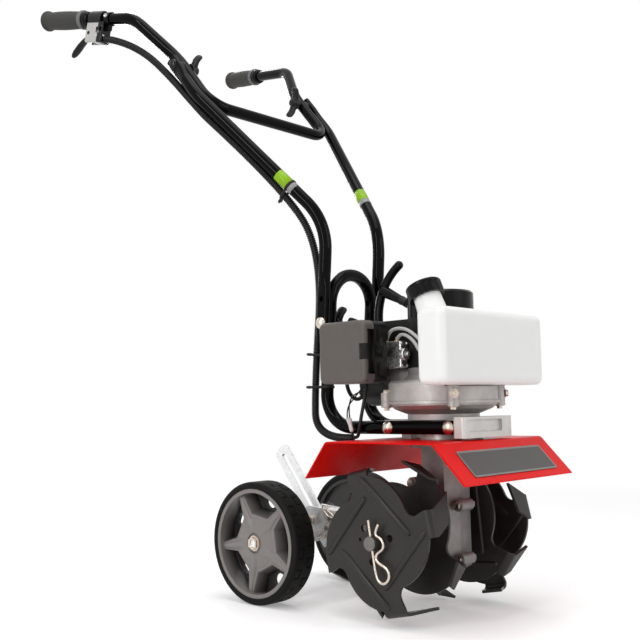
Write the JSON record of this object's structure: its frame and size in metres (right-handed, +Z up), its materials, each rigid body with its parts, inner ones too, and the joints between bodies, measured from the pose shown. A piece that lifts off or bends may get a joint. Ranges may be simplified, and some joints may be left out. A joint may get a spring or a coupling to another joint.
{
  "type": "garden tiller",
  "caption": "Compact walk-behind garden tiller with hooked star tines under a red fender, vertical-shaft engine, folding tube handles with a throttle grip, and rear transport wheels.",
  "frame": {"origin": "middle of the ground rectangle under the whole machine, on the ground", "axes": "+X to the operator's left, +Y to the rear where the operator stands, +Z up"},
  "size_m": [0.4734, 0.8092, 1.0009],
  "materials": {
    "black_tube": "gloss black paint",
    "red_paint": "gloss red paint",
    "dark_paint": "satin dark bronze paint",
    "grip_foam": "matte charcoal",
    "zinc": "zinc plated",
    "galvanised": "galvanised",
    "cast": "as cast",
    "bronze": "machined bronze",
    "steel": "machined",
    "tank_white": "translucent white",
    "black_plastic": "moulded",
    "warm_grey": "moulded warm grey",
    "hub_plastic": "moulded dark grey",
    "tyre": "matte",
    "cable": "smooth black",
    "hose": "light grey hose",
    "foam": "open-cell foam",
    "rope": "braided cord",
    "muffler_steel": "heat-proof paint"
  },
  "bodies": {
    "chassis": {"frame_tube": "black_tube", "lower_handle_right": "black_tube", "lower_handle_left": "black_tube", "cable_loom": "black_plastic", "lower_cables": "cable", "cable_ties": "black_plastic", "chassis_bolts": "zinc", "gearcase_left": "cast", "gearcase_right": "cast", "gearcase_bearings": "steel", "fender": "red_paint", "base_casting": "cast", "clutch_housing": "cast", "crankcase": "cast", "cylinder": "cast", "cylinder_scroll": "black_plastic", "muffler": "muffler_steel", "spark_plug_lead": "cable", "fan_shroud": "black_plastic", "recoil_housing": "black_plastic", "fuel_tank": "tank_white", "fuel_lines": "hose", "carburettor": "cast", "air_filter_base": "black_plastic", "air_filter_element": "foam", "hitch_bar": "cast", "wheel_bracket": "galvanised", "bracket_fasteners": "zinc"},
    "handlebar": {"upper_handlebar": "black_tube", "handle_saddles": "black_plastic", "grip_right": "grip_foam", "grip_left": "grip_foam", "throttle_housing": "zinc", "throttle_clamp": "zinc", "throttle_cable": "cable"},
    "throttle_lever": {"throttle_lever": "black_plastic"},
    "stop_switch": {"stop_switch": "black_plastic"},
    "knob_upper_right": {"knob_upper_right": "black_plastic"},
    "knob_upper_left": {"knob_upper_left": "black_plastic"},
    "knob_lower_right": {"knob_lower_right": "black_plastic"},
    "knob_lower_left": {"knob_lower_left": "black_plastic"},
    "tine_set": {"tine_axle": "steel", "tine_clips": "zinc", "worm_wheel": "bronze", "tine_outer_right": "dark_paint", "tine_outer_left": "dark_paint", "tine_inner_right": "dark_paint", "tine_inner_left": "dark_paint"},
    "worm": {"worm_shaft": "steel"},
    "crank": {"crankshaft": "steel"},
    "starter_pull": {"recoil_handle": "black_plastic", "recoil_rope": "rope"},
    "fuel_cap": {"fuel_cap": "black_plastic"},
    "choke": {"choke_lever": "black_plastic"},
    "filter_cover": {"air_filter_cover": "warm_grey"},
    "wheel_right": {"wheel_hub_right": "hub_plastic", "tyre_right": "tyre"},
    "wheel_left": {"wheel_hub_left": "hub_plastic", "tyre_left": "tyre"},
    "stake": {"drag_stake": "galvanised"}
  },
  "joints": [
    {"name": "handlebar_fold", "type": "hinge", "parent": "chassis", "child": "handlebar", "pos_m": [0, 0.11592, 0.843], "axis": [1, 0, 0], "range_deg": [0, 150], "deforming": ["throttle_cable"]},
    {"name": "throttle_squeeze", "type": "hinge", "parent": "handlebar", "child": "throttle_lever", "pos_m": [-0.19859, 0.28828, 0.9325], "axis": [0.9826, 0.1858, 0], "range_deg": [0, 26], "stiffness_Nm_per_rad": 0.4, "springref_deg": -22.92},
    {"name": "stop_slide", "type": "slide", "parent": "handlebar", "child": "stop_switch", "axis": [-0.0398, 0.2102, -0.9768], "range_m": [0, 0.0045]},
    {"name": "knob_turn_upper_right", "type": "hinge", "parent": "chassis", "child": "knob_upper_right", "pos_m": [-0.1261, 0.11592, 0.843], "axis": [1, 0, 0], "continuous": true},
    {"name": "knob_turn_upper_left", "type": "hinge", "parent": "chassis", "child": "knob_upper_left", "pos_m": [0.1261, 0.11592, 0.843], "axis": [1, 0, 0], "continuous": true},
    {"name": "knob_turn_lower_right", "type": "hinge", "parent": "chassis", "child": "knob_lower_right", "pos_m": [-0.0371, -0.11283, 0.41], "axis": [1, 0, 0], "continuous": true},
    {"name": "knob_turn_lower_left", "type": "hinge", "parent": "chassis", "child": "knob_lower_left", "pos_m": [0.0371, -0.11283, 0.41], "axis": [1, 0, 0], "continuous": true},
    {"name": "tine_spin", "type": "hinge", "parent": "chassis", "child": "tine_set", "pos_m": [0, -0.25209, 0.108], "axis": [1, 0, 0], "continuous": true},
    {"name": "worm_spin", "type": "hinge", "parent": "chassis", "child": "worm", "pos_m": [0, -0.28208, 0.108], "axis": [0, 0, 1], "continuous": true},
    {"name": "crank_spin", "type": "hinge", "parent": "chassis", "child": "crank", "pos_m": [0, -0.28208, 0.321], "axis": [0, 0, 1], "continuous": true},
    {"name": "starter_pull_out", "type": "slide", "parent": "chassis", "child": "starter_pull", "axis": [0, 0.4, 0.9165], "range_m": [0, 0.35], "stiffness_N_per_m": 40, "springref_m": -0.25, "deforming": ["recoil_rope"]},
    {"name": "fuel_cap_lift", "type": "slide", "parent": "chassis", "child": "fuel_cap", "axis": [0, 0.3746, 0.9272], "range_m": [0, 0.05]},
    {"name": "choke_turn", "type": "hinge", "parent": "chassis", "child": "choke", "pos_m": [-0.074, -0.22909, 0.362], "axis": [0, -1, 0], "range_deg": [0, 60]},
    {"name": "filter_cover_off", "type": "slide", "parent": "chassis", "child": "filter_cover", "axis": [-1, 0, 0], "range_m": [0, 0.06]},
    {"name": "wheel_spin_right", "type": "hinge", "parent": "chassis", "child": "wheel_right", "pos_m": [-0.1095, -0.02709, 0.089], "axis": [1, 0, 0], "continuous": true},
    {"name": "wheel_spin_left", "type": "hinge", "parent": "chassis", "child": "wheel_left", "pos_m": [0.1095, -0.02709, 0.089], "axis": [1, 0, 0], "continuous": true},
    {"name": "stake_adjust", "type": "slide", "parent": "chassis", "child": "stake", "axis": [0, 0.6004, 0.7997], "range_m": [-0.115, 0.018]}
  ],
  "couplings": [
    {"joint": "worm_spin", "follows": "tine_spin", "ratio": 30}
  ]
}
